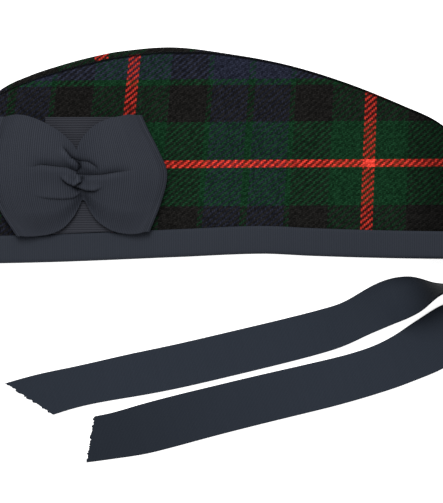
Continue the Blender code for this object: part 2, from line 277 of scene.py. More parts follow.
# How much warp colour shows where it lies under and over, how far red darkens on dark thread, and
# the sizes and strengths of the fibres and of the soft unevenness
WARP_UNDER = 0.04
WARP_OVER = 0.70
RED_DARKENS = 0.55
FIBRE_SCALE = 1500.0
FIBRE_SHADE = 0.9
UNEVEN_SCALE = 28.0
UNEVEN_SHADE = 0.24


def join_math(tree, operation, first, second=0.0, third=0.0):
    """A Math node whose inputs are numbers or other nodes' outputs, and its output."""
    node = tree.nodes.new("ShaderNodeMath")
    node.operation = operation
    for socket, value in zip(node.inputs, (first, second, third)):
        if isinstance(value, (int, float)):
            socket.default_value = value
        else:
            tree.links.new(value, socket)
    return node.outputs[0]


def mix_colours(tree, share, first, second, blend="MIX"):
    node = tree.nodes.new("ShaderNodeMix")
    node.data_type = "RGBA"
    node.blend_type = blend
    for socket, value in zip((node.inputs[0], node.inputs[6], node.inputs[7]), (share, first, second)):
        if isinstance(value, (int, float, tuple)):
            socket.default_value = value
        else:
            tree.links.new(value, socket)
    return node.outputs[2]


def open_group(name, inputs, outputs):
    """A new node group with its sockets, its first node and its last."""
    group = bpy.data.node_groups.new(name, "ShaderNodeTree")
    for socket_name, kind, value in inputs:
        socket = group.interface.new_socket(socket_name, in_out="INPUT", socket_type=kind)
        if value is not None:
            socket.default_value = value
    for socket_name, kind in outputs:
        group.interface.new_socket(socket_name, in_out="OUTPUT", socket_type=kind)
    return group, group.nodes.new("NodeGroupInput"), group.nodes.new("NodeGroupOutput")


def yarn_colours(tree, place, sett):
    """The colour of the thread at a place, from stripes that turn back at both ends of the sett."""
    half = sum(stripe[0] for stripe in sett) / 1000
    turned = join_math(tree, "PINGPONG", place, half)
    share = join_math(tree, "DIVIDE", turned, half)
    ramp = tree.nodes.new("ShaderNodeValToRGB")
    ramp.color_ramp.interpolation = "CONSTANT"
    tree.links.new(share, ramp.inputs[0])
    position = 0.0
    for k, (width, colour) in enumerate(sett):
        if k < 2:
            stop = ramp.color_ramp.elements[k]
            stop.position = position
        else:
            stop = ramp.color_ramp.elements.new(position)
        stop.color = colour
        position += width / 1000 / half
    return ramp.outputs[0]


def make_twill_group():
    """Twill cloth from its own map: thread by thread, two over and two under."""
    group, given, result = open_group(
        "Tartan twill",
        (("Cloth", "NodeSocketVector", None), ("Warp Start", "NodeSocketFloat", 0.0),
         ("Weft Start", "NodeSocketFloat", 0.0)),
        (("Colour", "NodeSocketColor"), ("Height", "NodeSocketFloat"), ("Worn", "NodeSocketFloat")),
    )
    split = group.nodes.new("ShaderNodeSeparateXYZ")
    group.links.new(given.outputs["Cloth"], split.inputs[0])
    across = join_math(group, "SUBTRACT", split.outputs[0], given.outputs["Warp Start"])
    up = join_math(group, "SUBTRACT", split.outputs[1], given.outputs["Weft Start"])
    across_threads = join_math(group, "DIVIDE", across, WARP_THREAD)
    up_threads = join_math(group, "DIVIDE", up, WEFT_THREAD)
    warp_number = join_math(group, "FLOOR", across_threads)
    weft_number = join_math(group, "FLOOR", up_threads)
    warp_place = join_math(group, "MULTIPLY", join_math(group, "ADD", warp_number, 0.5), WARP_THREAD)
    weft_place = join_math(group, "MULTIPLY", join_math(group, "ADD", weft_number, 0.5), WEFT_THREAD)
    warp = yarn_colours(group, warp_place, WARP_SETT)
    weft = yarn_colours(group, weft_place, WEFT_SETT)
    step = join_math(group, "FLOORED_MODULO", join_math(group, "SUBTRACT", warp_number, weft_number), 4.0)
    warp_over = join_math(group, "LESS_THAN", step, 1.5)
    warp_shows = join_math(group, "MULTIPLY_ADD", warp_over, WARP_OVER, WARP_UNDER)
    colour = mix_colours(group, warp_shows, weft, warp)

    # Where the red crosses dark thread, the dark shows between its fibres
    contrast = group.nodes.new("ShaderNodeSeparateColor")
    group.links.new(mix_colours(group, 1.0, warp, weft, "DIFFERENCE"), contrast.inputs[0])
    clean = join_math(group, "MULTIPLY_ADD", contrast.outputs["Red"], -RED_DARKENS, 1.0)

    def bulge(value, centre, half_width):
        """1 at the centre of a thread or float, falling to 0 at its edge."""
        way = join_math(group, "DIVIDE", join_math(group, "SUBTRACT", value, centre), half_width)
        return join_math(group, "SUBTRACT", 1.0, join_math(group, "MULTIPLY", way, way))

    def float_way(value, number, offset):
        """Place along a float from -1 to 1, repeating every four threads."""
        raw = join_math(group, "ADD", join_math(group, "SUBTRACT", value, number), offset)
        return join_math(group, "SUBTRACT", join_math(group, "FLOORED_MODULO", raw, 4.0), 1.0)

    warp_round = bulge(join_math(group, "FRACT", across_threads), 0.5, 0.5)
    weft_round = bulge(join_math(group, "FRACT", up_threads), 0.5, 0.5)
    warp_float = bulge(float_way(up_threads, warp_number, 1.0), 0.0, 1.0)
    weft_float = bulge(float_way(across_threads, weft_number, 2.0), 0.0, 1.0)
    warp_height = join_math(group, "MULTIPLY", warp_round, 0.4)
    warp_height = join_math(group, "MULTIPLY_ADD", warp_float, 0.6, warp_height)
    weft_height = join_math(group, "MULTIPLY", weft_round, 0.4)
    weft_height = join_math(group, "MULTIPLY_ADD", weft_float, 0.6, weft_height)
    height = join_math(group, "MULTIPLY", warp_height, warp_over)
    weft_over = join_math(group, "SUBTRACT", 1.0, warp_over)
    height = join_math(group, "MULTIPLY_ADD", weft_height, weft_over, height)

    fibres = group.nodes.new("ShaderNodeTexNoise")
    fibres.inputs["Scale"].default_value = FIBRE_SCALE
    fibres.inputs["Detail"].default_value = 3.0
    group.links.new(given.outputs["Cloth"], fibres.inputs["Vector"])
    soft = group.nodes.new("ShaderNodeTexNoise")
    soft.inputs["Scale"].default_value = UNEVEN_SCALE
    soft.inputs["Detail"].default_value = 2.0
    group.links.new(given.outputs["Cloth"], soft.inputs["Vector"])
    thread_mark = group.nodes.new("ShaderNodeCombineXYZ")
    group.links.new(warp_number, thread_mark.inputs[0])
    group.links.new(weft_number, thread_mark.inputs[1])
    mottle = group.nodes.new("ShaderNodeTexWhiteNoise")
    mottle.noise_dimensions = "2D"
    group.links.new(thread_mark.outputs[0], mottle.inputs["Vector"])

    # Painted shade between threads: each thread is drawn darker towards its edges and the ends of its floats,
    # and warp floats darker than weft floats. The fibres, each thread's mottle and the soft unevenness vary
    # the tone at random.
    shade = join_math(group, "MULTIPLY", clean, join_math(group, "MULTIPLY_ADD", height, 0.75, 0.45))
    shade = join_math(group, "SUBTRACT", shade, FIBRE_SHADE / 2)
    shade = join_math(group, "MULTIPLY_ADD", fibres.outputs["Fac"], FIBRE_SHADE, shade)
    shade = join_math(group, "MULTIPLY", shade,
                      join_math(group, "MULTIPLY_ADD", mottle.outputs["Value"], 0.9, 0.55))
    shade = join_math(group, "MULTIPLY", shade, join_math(group, "MULTIPLY_ADD", warp_over, -0.28, 1.14))
    uneven = join_math(group, "MULTIPLY_ADD", soft.outputs["Fac"], UNEVEN_SHADE, 1.0 - UNEVEN_SHADE / 2)
    shade = join_math(group, "MULTIPLY", shade, uneven)
    shaded = mix_colours(group, 1.0, colour, shade, "MULTIPLY")
    group.links.new(shaded, result.inputs["Colour"])
    rough_height = join_math(group, "MULTIPLY_ADD", fibres.outputs["Fac"], 0.35, height)
    group.links.new(rough_height, result.inputs["Height"])
    group.links.new(soft.outputs["Fac"], result.inputs["Worn"])
    return group


twill = make_twill_group()


def make_tartan(name, warp_start, weft_start):
    """Tartan wool whose check starts where it is cut."""
    material = bpy.data.materials.new(name)
    material.use_nodes = True
    tree = material.node_tree
    shader = tree.nodes["Principled BSDF"]
    cloth_map = tree.nodes.new("ShaderNodeUVMap")
    cloth_map.uv_map = "cloth"
    weave = tree.nodes.new("ShaderNodeGroup")
    weave.node_tree = twill
    weave.inputs["Warp Start"].default_value = warp_start
    weave.inputs["Weft Start"].default_value = weft_start
    tree.links.new(cloth_map.outputs[0], weave.inputs["Cloth"])
    # Painted shade: the piece's own shade attribute darkens the woven colour
    painted_shade = tree.nodes.new("ShaderNodeAttribute")
    painted_shade.attribute_name = "shade"
    shaded = mix_colours(tree, 1.0, weave.outputs["Colour"], painted_shade.outputs["Fac"], "MULTIPLY")
    tree.links.new(shaded, shader.inputs["Base Color"])
    roughness = join_math(tree, "MULTIPLY_ADD", weave.outputs["Worn"], 0.2, 0.78)
    tree.links.new(roughness, shader.inputs["Roughness"])
    bump = tree.nodes.new("ShaderNodeBump")
    bump.inputs["Strength"].default_value = 0.5
    bump.inputs["Distance"].default_value = 0.0003
    tree.links.new(weave.outputs["Height"], bump.inputs["Height"])
    tree.links.new(bump.outputs[0], shader.inputs["Normal"])
    shader.inputs["Specular IOR Level"].default_value = 0.02
    return material


# Where the check's red lines cross on the cap's upper side
WARP_LENGTH = sum(stripe[0] for stripe in WARP_SETT) / 1000
WEFT_LENGTH = sum(stripe[0] for stripe in WEFT_SETT) / 1000
RED_WARP_X = 0.0815
RED_WEFT_Y = 0.0001
LEAN = 0.0723
LEAN_CHANGE = -0.42
LEAN_Y = 0.0261
WEFT_RISE = 0.0075
# Painted shade on the sides: how dark the top roll is drawn where it turns into the seam, and how much darker
# the sides are drawn towards the back end, from where and over what run
ROLL_SHADE = 0.88
BACK_SHADE = 0.45
BACK_SHADE_X = 0.090
BACK_SHADE_RUN = 0.035


def side_cloth(along, up, upper):
    """A side's place, its cloth's own map, which leans a little as the panel was cut, and its painted shade.
    """
    place, (cloth_x, cloth_y) = side_point(along, up, upper)
    lean = LEAN + LEAN_CHANGE * cloth_x
    # Painted shade: dark where the top edge rolls into the seam, and darker towards the back end
    turned = (up * SIDE_UP_PARTS - WALL_PARTS) / ROLL_PARTS
    shade = 1.0 - ROLL_SHADE * ease((turned - 0.25) / 0.25)
    shade *= 1.0 - BACK_SHADE * ease((place.x - BACK_SHADE_X) / BACK_SHADE_RUN)
    return place, (cloth_x - lean * (cloth_y - LEAN_Y), cloth_y - WEFT_RISE * cloth_x), shade


side_tartan = make_tartan("tartan_side", RED_WARP_X - WARP_LENGTH, RED_WEFT_Y - WEFT_LENGTH)

# Both side panels, in place of the CAD's sides
for side_name, node, upper in (("cap_side_left", "side_left", True), ("cap_side_right", "side_right", False)):
    panel = cut_cloth(side_name, 240, 78, lambda u, v: side_cloth(u, v, upper), WOOL, -1.0, not upper)
    panel.data.materials.append(side_tartan)
    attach(panel, "root")
    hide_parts(node)


# The crown is one long pointed piece of the same wool, creased lengthwise. It folds down between the
# sides like the gusset of a bag, so that only its rolled edges show at the ridge.
FOLD_DEPTH = 0.038
FOLD_FULLNESS = 0.8
CROWN_PARTS = 28
TIP_PARTS = 2
LEG_PARTS = 2
CREASE_PARTS = 2
HALF_CROWN_PARTS = 1 + ROLL_PARTS + LEG_PARTS + CREASE_PARTS
TIP_REACH = 0.8
CROWN_RED_X = -0.0742
CROWN_RED_ACROSS = 0.030
CROWN_BIAS = 0.859


def crown_point(along, across):
    """Outer surface of the crown, from the upper seam over the crease to the lower seam, and its cloth."""
    front = seam_x(1.0, False) + END_RADIUS
    back = seam_x(1.0, True) - END_RADIUS
    part = along * CROWN_PARTS
    middle = min(max((part - TIP_PARTS) / (CROWN_PARTS - 2 * TIP_PARTS), 0.0), 1.0)
    roll = roll_radius(middle)
    half = thickness(middle, 1.0) / 2 - roll - CLEARANCE / 2
    opening = half - roll
    past_end = TIP_REACH * max(1.0 - min(part, CROWN_PARTS - part) / TIP_PARTS, 0.0)
    x = mix(front, back, middle) + math.copysign(half * past_end, along - 0.5)
    narrowing = math.sqrt(1.0 - past_end**2)
    depth = FOLD_DEPTH * math.sin(math.pi * middle) ** FOLD_FULLNESS
    full_depth = max(depth, half)
    part_in = (1.0 - abs(across - 0.5) * 2) * HALF_CROWN_PARTS
    edge_turn = math.pi / 2 * min(max(part_in - 1.0, 0.0) / ROLL_PARTS, 1.0)
    down = min(max(part_in - 1.0 - ROLL_PARTS, 0.0) / LEG_PARTS, 1.0)
    crease_turn = math.pi / 2 * max(part_in - 1.0 - ROLL_PARTS - LEG_PARTS, 0.0) / CREASE_PARTS
    z = half - SEAM_LIP * min(part_in, 1.0) - (roll - SEAM_LIP) * math.sin(edge_turn)
    z -= opening * (1.0 - math.cos(crease_turn))
    drop = roll * (1.0 - math.cos(edge_turn))
    drop += (full_depth - half) * down + opening * math.sin(crease_turn)
    folded = min(depth / full_depth, 1.0)
    z = mix(half * (1.0 - part_in / HALF_CROWN_PARTS), z, folded) * narrowing
    edge_share = (1 + ROLL_PARTS) / (2 * HALF_CROWN_PARTS)
    over = ease((across - edge_share) / (1.0 - 2 * edge_share))
    edge = mix(side_ridge_y(x, True), side_ridge_y(x, False), over)
    middle_z = thickness(middle, 1.0) / 2
    place = Vector((x, edge - drop * folded, middle_z + math.copysign(z, 0.5 - across)))
    in_cloth = SEAM_LIP * min(part_in, 1.0) + roll * edge_turn
    in_cloth += (full_depth - half) * down + half * crease_turn
    cloth = (CROWN_RED_X + (x - CROWN_RED_X) * CROWN_BIAS, math.copysign(in_cloth, 0.5 - across))
    # Painted shade: the crown is drawn dark at its seams, where it meets the sides' rolled edges in the fold
    return place, cloth, 1.0 - ROLL_SHADE * ease((1.8 - part_in) / 1.6)


crown = cut_cloth("cap_crown", 224, 128, crown_point, WOOL, -1.0, even=False)
crown_tartan = make_tartan("tartan_crown", CROWN_RED_X - WARP_LENGTH, CROWN_RED_ACROSS - WEFT_LENGTH)
crown.data.materials.append(crown_tartan)
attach(crown, "root")
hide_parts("crown")


# The mouth is bound with one length of dark ribbed ribbon, folded over the cloth's edge and sewn
# through close to its own edges. Its ribs run across it.
BAND_INNER_WIDTH = 0.014
BAND_LEG_PARTS = 2
BAND_TURN_PARTS = 4
BINDING_PARTS = 2 * BAND_LEG_PARTS + BAND_TURN_PARTS
BAND_COLOUR = (0.0176, 0.0210, 0.0280, 1.0)
BAND_LIGHT = (0.0236, 0.0272, 0.0360, 1.0)


def binding_point(around, across):
    """Middle surface of the ribbon round the mouth, from the outer leg's top, and its cloth."""
    upper = around < 0.5
    along = around * 2 if upper else 2.0 - around * 2
    x, _, _, middle = loop_point(along, 0.0, 0.0, upper, 0.0)
    edge = wool_edge_y(x)
    part = across * BINDING_PARTS
    outer_leg = max(1.0 - part / BAND_LEG_PARTS, 0.0)
    inner_leg = max((part - BAND_LEG_PARTS - BAND_TURN_PARTS) / BAND_LEG_PARTS, 0.0)
    turn = math.pi * min(max((part - BAND_LEG_PARTS) / BAND_TURN_PARTS, 0.0), 1.0)
    outer_length = band_edge_y(x) + BAND_WIDTH - edge
    y = edge - TURN_RADIUS * math.sin(turn) + outer_length * outer_leg + BAND_INNER_WIDTH * inner_leg
    distance = max(y - edge, 0.0)
    level = distance / (side_ridge_y(x, upper) - roll_radius(middle) - edge)
    x, z, inward, _ = loop_point(along, level, bottom_z(distance), upper, 0.0)
    shift = WOOL / 2 - TURN_RADIUS * math.cos(turn)
    round_end = END_RADIUS * math.asin(min(abs(inward[0]), 1.0))
    length = x + math.copysign(round_end - END_RADIUS * abs(inward[0]), along - 0.5)
    length = length if upper else CAP_LENGTH - length
    down = outer_length * (1.0 - outer_leg) + TURN_RADIUS * turn + BAND_INNER_WIDTH * inner_leg
    return Vector((x + inward[0] * shift, y, z + inward[1] * shift)), (length, down), 1.0


# What lightens a ribbon: its ribs, painted lighter on their crests as a highlight, each rib's own shade, its
# threads, and the soft mottle
RIB_LIGHT = 0.8
RIB_OWN_LIGHT = 0.1
THREAD_LIGHT = 0.3
MOTTLE_LIGHT = 0.2


def make_rib_group():
    """Ribbed ribbon from its own map: fine ribs across it, its threads, and a soft mottle."""
    group, given, result = open_group(
        "Ribbed ribbon",
        (("Cloth", "NodeSocketVector", None), ("Rib", "NodeSocketFloat", 0.0009)),
        (("Height", "NodeSocketFloat"), ("Light", "NodeSocketFloat")),
    )
    split = group.nodes.new("ShaderNodeSeparateXYZ")
    group.links.new(given.outputs["Cloth"], split.inputs[0])
    count = join_math(group, "DIVIDE", split.outputs[0], given.outputs["Rib"])
    wave = join_math(group, "COSINE", join_math(group, "MULTIPLY", count, 2 * math.pi))
    rib = join_math(group, "MULTIPLY_ADD", wave, 0.5, 0.5)
    shade = group.nodes.new("ShaderNodeTexWhiteNoise")
    shade.noise_dimensions = "1D"
    group.links.new(join_math(group, "FLOOR", join_math(group, "ADD", count, 0.5)), shade.inputs["W"])
    threads = group.nodes.new("ShaderNodeTexNoise")
    threads.inputs["Scale"].default_value = 1300.0
    threads.inputs["Detail"].default_value = 2.0
    group.links.new(given.outputs["Cloth"], threads.inputs["Vector"])
    soft = group.nodes.new("ShaderNodeTexNoise")
    soft.inputs["Scale"].default_value = 55.0
    soft.inputs["Detail"].default_value = 3.0
    group.links.new(given.outputs["Cloth"], soft.inputs["Vector"])
    height = join_math(group, "MULTIPLY_ADD", threads.outputs["Fac"], 0.3, rib)
    group.links.new(height, result.inputs["Height"])
    light = join_math(group, "MULTIPLY", rib, RIB_LIGHT)
    light = join_math(group, "MULTIPLY_ADD", shade.outputs["Value"], RIB_OWN_LIGHT, light)
    light = join_math(group, "MULTIPLY_ADD", threads.outputs["Fac"], THREAD_LIGHT, light)
    light = join_math(group, "MULTIPLY_ADD", soft.outputs["Fac"], MOTTLE_LIGHT, light)
    group.links.new(light, result.inputs["Light"])
    return group


ribs = make_rib_group()


def make_ribbon(name, dark, light, rib, relief):
    """Ribbon mixed from a darker and a lighter colour by its painted rib highlight, threads and mottle, with
    its ribs' pitch and their relief.
    """
    material = bpy.data.materials.new(name)
    material.use_nodes = True
    tree = material.node_tree
    shader = tree.nodes["Principled BSDF"]
    cloth_map = tree.nodes.new("ShaderNodeUVMap")
    cloth_map.uv_map = "cloth"
    weave = tree.nodes.new("ShaderNodeGroup")
    weave.node_tree = ribs
    weave.inputs["Rib"].default_value = rib
    tree.links.new(cloth_map.outputs[0], weave.inputs["Cloth"])
    # Painted shade: the piece's own shade attribute darkens the ribbon's colour
    painted_shade = tree.nodes.new("ShaderNodeAttribute")
    painted_shade.attribute_name = "shade"
    ribbon_colour = mix_colours(tree, weave.outputs["Light"], dark, light)
    shaded = mix_colours(tree, 1.0, ribbon_colour, painted_shade.outputs["Fac"], "MULTIPLY")
    tree.links.new(shaded, shader.inputs["Base Color"])
    roughness = join_math(tree, "MULTIPLY_ADD", weave.outputs["Light"], -0.12, 0.74)
    tree.links.new(roughness, shader.inputs["Roughness"])
    bump = tree.nodes.new("ShaderNodeBump")
    bump.inputs["Strength"].default_value = 0.5
    bump.inputs["Distance"].default_value = relief
    tree.links.new(weave.outputs["Height"], bump.inputs["Height"])
    tree.links.new(bump.outputs[0], shader.inputs["Normal"])
    shader.inputs["Specular IOR Level"].default_value = 0.05
    return material


binding = cut_cloth("cap_binding", 640, 32, binding_point, RIBBON, 0.0)
binding.data.materials.append(make_ribbon("binding_ribbon", BAND_COLOUR, BAND_LIGHT, 0.0013, 0.0002))
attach(binding, "root")
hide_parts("binding")


# Under the bow an upright strip of wider ribbon is sewn flat on the upper side, from the binding up.
# Its ribs run level, because the ribbon itself runs up the cap.
BOW_X = -0.0864
BOW_Y = -0.0052
BACKING_WIDTH = 0.040
BACKING_TOP = 0.0275
ON_WOOL = CLEARANCE + RIBBON / 2
ON_RIBBON = 2 * CLEARANCE + 1.5 * RIBBON
BACKING_COLOUR = (0.0105, 0.0116, 0.0158, 1.0)
BACKING_LIGHT = (0.0292, 0.0306, 0.0383, 1.0)


def upper_side_z(x, y):
    """Height of the upper side's outer surface over a place in plan."""
    low = wool_edge_y(x)
    high = side_ridge_y(x, True) - RIDGE_ROLL
    distance = min(max(y - low, 0.0), high - low)
    level = distance / (high - low)
    front = seam_x(level, False) + END_RADIUS
    back = seam_x(level, True) - END_RADIUS
    middle = min(max((x - front) / (back - front), 0.0), 1.0)
    return bottom_z(distance) + thickness(middle, level)


def backing_point(across, up):
    x = BOW_X + (across - 0.5) * BACKING_WIDTH
    y = mix(band_edge_y(x) + BAND_WIDTH + CLEARANCE, BACKING_TOP, up)
    return Vector((x, y, upper_side_z(x, y) + ON_WOOL)), (y, x), 1.0


backing = cut_cloth("bow_backing_ribbon", 60, 90, backing_point, RIBBON, 0.0)
backing.data.materials.append(make_ribbon("backing_ribbon", BACKING_COLOUR, BACKING_LIGHT, 0.00137, 0.0003))
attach(backing, "root")
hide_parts("bow_backing")


# The bow is one ring of wide ribbon pressed flat, gathered across its middle and sewn down there, so
# that it spreads into two loops. The gathers leave folds that run out from the stitches.
BOW_LENGTH = 0.101
BOW_WIDTH = 0.0725
BOW_LOFT = 0.0130
BOW_END_LOFT = 0.0050
BOW_EDGE_LOFT = 0.45
PINCH_ABOVE = -0.0015
PINCH_BELOW = 0.0015
BOW_END_START = 0.6
BOW_FOOT_LOFT = 0.35
LOFT_BLEND = 0.0014
# How dark the painted shade is drawn near the bow's ends, where the ribbon turns under
BOW_END_SHADE = 0.12
BOW_COLOUR = (0.0116, 0.0134, 0.0182, 1.0)
BOW_LIGHT = (0.0266, 0.0297, 0.0391, 1.0)

# Half widths of the loops from the stitches out, as shares of the bow's width: way out, left loop
# above and below, right loop above and below, and the loft
LOOP_EDGES = (
    (0.00, 0.185, 0.208, 0.185, 0.208, 0.42), (0.05, 0.234, 0.270, 0.252, 0.220, 0.52),
    (0.12, 0.273, 0.345, 0.308, 0.285, 0.68), (0.25, 0.334, 0.430, 0.379, 0.373, 0.88),
    (0.45, 0.407, 0.480, 0.430, 0.450, 0.98), (0.65, 0.456, 0.497, 0.453, 0.480, 0.88),
    (0.85, 0.470, 0.503, 0.468, 0.482, 0.62), (1.00, 0.453, 0.500, 0.463, 0.466, 0.40),
)

# Reach of the two loops across the ribbon: share from the ridge side, left reach, right reach
LOOP_REACH = (
    (0.00, 0.90, 0.71), (0.12, 0.95, 0.78), (0.30, 0.99, 0.90), (0.50, 1.00, 1.00),
    (0.75, 0.92, 0.93), (1.00, 0.71, 0.80),
)

# Folds of the gathers, in millimetres from the bow's middle, from their outer end in. Each has the
# height of its raised lip, the depth of its groove, the lip's width, the lip's side: 1 to the left
# of the way in, -1 to the right, and how dark the painted shade in its groove is.
BOW_FOLDS = (
    (((-32.0, 2.6), (-22.0, 4.2), (-13.1, 3.2), (-7.2, 2.6), (-1.9, 0.3)), 2.0, 1.7, 7.0, -1, 0.48),
    (((-10.5, 16.5), (-8.7, 13.4), (-6.6, 10.3), (-4.4, 7.8), (-0.4, 4.2)), 2.2, 2.0, 3.5, -1, 0.55),
    (((12.0, -0.7), (9.9, 3.2), (5.2, 5.9), (0.8, 6.5), (-4.0, 7.4)), 1.5, 1.3, 3.5, 1, 0.5),
    (((34.0, 2.0), (20.2, -0.4), (13.5, -1.5), (6.8, -1.7), (-0.5, -1.2)), 1.6, 1.5, 6.0, 1, 0.5),
    (((-11.5, -0.8), (-9.1, -3.4), (-6.2, -5.6), (-3.1, -6.6), (0.4, -4.8)), 1.5, 1.2, 3.5, 1, 0.55),
    (((14.5, -7.3), (12.0, -8.8), (8.9, -9.7), (4.2, -9.4), (-2.5, -7.0)), 1.6, 1.1, 4.0, -1, 0.5),
    (((-28.0, -12.7), (-19.0, -13.9), (-10.0, -14.4), (-3.5, -13.9), (-0.7, -12.0)), 0.9, 0.3, 5.0, 1, 0.15),
)
FOLD_EDGE = 0.35
FOLD_OVERHANG = 0.35
FOLD_RUN_OUT = 1.2
FOLD_START = 0.45

# Where each fold's painted shade and painted highlight lie across its way, in millimetres: the painted
# dark line in the groove, the soft painted shade beside it, the painted highlight on the lip, and where the
# lip leans over
GROOVE_PLACE = -0.3
GROOVE_HALF_WIDTH = 0.7
SOFT_SHADE_WIDTH = 2.6
SOFT_SHADE_SHARE = 0.5
LIP_PLACE = 1.4
LIP_HALF_WIDTH = 1.2
LIP_LIGHT_SHARE = 0.3
LEAN_PLACE = 0.6
LEAN_HALF_WIDTH = 1.1

# Hollows where the stitches pull the ribbon down: place, radius and depth in millimetres
BOW_HOLLOWS = ((0.4, 3.4, 1.3, 2.0), (1.9, -3.2, 1.3, 1.6), (-1.2, -9.5, 1.2, 0.8))
# How dark the painted shade in each hollow is drawn
HOLLOW_SHADE = 0.5


def fold_relief(x, y):
    """Rise of the folds at a place in millimetres from the bow's middle, their lean and their painted shade.
    """
    rise = 0.0
    lean_x = 0.0
    lean_y = 0.0
    shade = 1.0
    for points, lip, groove, width, side, dark in BOW_FOLDS:
        nearest = None
        lengths = [math.dist(a, b) for a, b in zip(points, points[1:])]
        total = sum(lengths)
        gone = 0.0
        for a, b, length in zip(points, points[1:], lengths):
            run = (b[0] - a[0], b[1] - a[1])
            t = ((x - a[0]) * run[0] + (y - a[1]) * run[1]) / length**2
            held = min(max(t, 0.0), 1.0)
            past = abs(t - held) * length
            off = (x - a[0] - held * run[0], y - a[1] - held * run[1])
            distance = math.hypot(*off)
            if nearest is None or distance < nearest[0]:
                left = run[0] * off[1] - run[1] * off[0] > 0.0
                share = (gone + held * length) / total
                nearest = (distance, left, share, past, (-run[1] / length, run[0] / length))
            gone += length
        distance, left, share, past, normal = nearest
        if distance > 2.5 * width:
            continue
        signed = distance * side * (1 if left else -1)
        strength = ease(share / FOLD_START)
        if share in (0.0, 1.0):
            strength *= math.exp(-(past / FOLD_RUN_OUT) ** 2)
        high = lip * math.exp(-(signed / width) ** 2)
        low = -groove * math.exp(-(signed / (0.5 * width)) ** 2)
        rise += strength * mix(low, high, ease((signed + FOLD_EDGE) / (2 * FOLD_EDGE)))
        # Painted shade in the groove and beside it, and a painted highlight on the lip
        shade *= 1.0 - dark * strength * math.exp(-((signed - GROOVE_PLACE) / GROOVE_HALF_WIDTH) ** 2)
        beside = min(signed, 0.0) / SOFT_SHADE_WIDTH
        shade *= 1.0 - SOFT_SHADE_SHARE * dark * strength * math.exp(-beside**2) * ease(0.5 - signed)
        on_lip = math.exp(-((signed - LIP_PLACE) / LIP_HALF_WIDTH) ** 2)
        shade *= 1.0 + LIP_LIGHT_SHARE * dark * strength * on_lip
        leaning = math.exp(-((signed - LEAN_PLACE) / LEAN_HALF_WIDTH) ** 2)
        over = strength * FOLD_OVERHANG * lip * leaning
        lean_x -= normal[0] * side * over
        lean_y -= normal[1] * side * over
    for centre_x, centre_y, radius, depth in BOW_HOLLOWS:
        away = math.hypot(x - centre_x, y - centre_y)
        rise -= depth * math.exp(-(away / radius) ** 2)
        shade *= 1.0 - HOLLOW_SHADE * math.exp(-(away / radius) ** 2)
    return rise / 1000, lean_x / 1000, lean_y / 1000, shade


def bow_plan(way, across):
    """Plan place on the bow. way runs from -1 at the left end to 1, across from its ridge side."""
    out = abs(way)
    reach = read_rows(LOOP_REACH, across, 1 if way < 0.0 else 2) * BOW_LENGTH / 2
    above = read_rows(LOOP_EDGES, out, 1 if way < 0.0 else 3) * BOW_WIDTH
    below = read_rows(LOOP_EDGES, out, 2 if way < 0.0 else 4) * BOW_WIDTH
    slant = mix(PINCH_ABOVE, PINCH_BELOW, across) * (1.0 - ease(out / 0.3))
    return BOW_X + math.copysign(out * reach, way) + slant, BOW_Y + mix(above, -below, across)


# Shares of the way round the bow: the upper layer, each end, and the lower layer
UPPER_SHARE = 0.66
END_SHARE = 0.03


def bow_point(around, across):
    """Middle surface of the bow: the upper layer, the right end, the lower layer and the left end."""
    end_radius = (BOW_END_LOFT - RIBBON) / 2
    ribbon_across = across * BOW_WIDTH
    if around <= UPPER_SHARE or UPPER_SHARE + END_SHARE <= around <= 1.0 - END_SHARE:
        lower = around > UPPER_SHARE
        if lower:
            way = 1.0 - 2.0 * (around - UPPER_SHARE - END_SHARE) / (1.0 - UPPER_SHARE - 2 * END_SHARE)
        else:
            way = 2.0 * around / UPPER_SHARE - 1.0
            way = math.copysign(abs(way) ** 1.25, way)
        x, y = bow_plan(way, across)
        out = abs(way)
        ending = ease((out - BOW_END_START) / (1.0 - BOW_END_START))
        x -= math.copysign(end_radius * ending, way)
        rise = 0.0
        shade = 1.0
        if not lower:
            crowned = mix(BOW_EDGE_LOFT, 1.0, math.sin(math.pi * across))
            open_loft = (BOW_LOFT - RIBBON) * read_rows(LOOP_EDGES, out, 5) * crowned
            apart = math.hypot(open_loft - 2 * end_radius, LOFT_BLEND * (1.0 - ending))
            rise = (open_loft + 2 * end_radius + apart) / 2
            rise *= 1.0 - (1.0 - BOW_FOOT_LOFT) * ease((across - 0.8) / 0.2) * (1.0 - ending)
            near_edge = min(ease(across / 0.05), ease((1.0 - across) / 0.05))
            relief, lean_x, lean_y, shade = fold_relief((x - BOW_X) * 1000, (y - BOW_Y) * 1000)
            rise = max(rise + relief * mix(0.5, 1.0, near_edge), RIBBON)
            # Painted shade near the ends, where the ribbon turns under
            shade *= 1.0 - BOW_END_SHADE * ease((out - 0.93) / 0.05)
            x += lean_x
            y += lean_y
        length = way * BOW_LENGTH / 2 if not lower else BOW_LENGTH - way * BOW_LENGTH / 2
        return Vector((x, y, upper_side_z(x, y) + ON_RIBBON + rise)), (length, ribbon_across), shade
    at_right = around < 0.8
    start = UPPER_SHARE if at_right else 1.0 - END_SHARE
    side = 1.0 if at_right else -1.0
    share = (around - start) / END_SHARE
    turn = math.pi * (share if at_right else 1.0 - share)
    x, y = bow_plan(side, across)
    x -= side * end_radius * (1.0 - math.sin(turn))
    rise = end_radius * (1.0 + math.cos(turn))
    length = side * (BOW_LENGTH / 2 + end_radius * turn)
    return Vector((x, y, upper_side_z(x, y) + ON_RIBBON + rise)), (length, ribbon_across), 1.0


bow = cut_cloth("bow_ribbon_loops", 340, 136, bow_point, RIBBON * 0.8, 0.0, even=False)
bow.data.materials.append(make_ribbon("bow_ribbon", BOW_COLOUR, BOW_LIGHT, 0.00128, 0.0002))
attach(bow, "root")
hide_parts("bow")


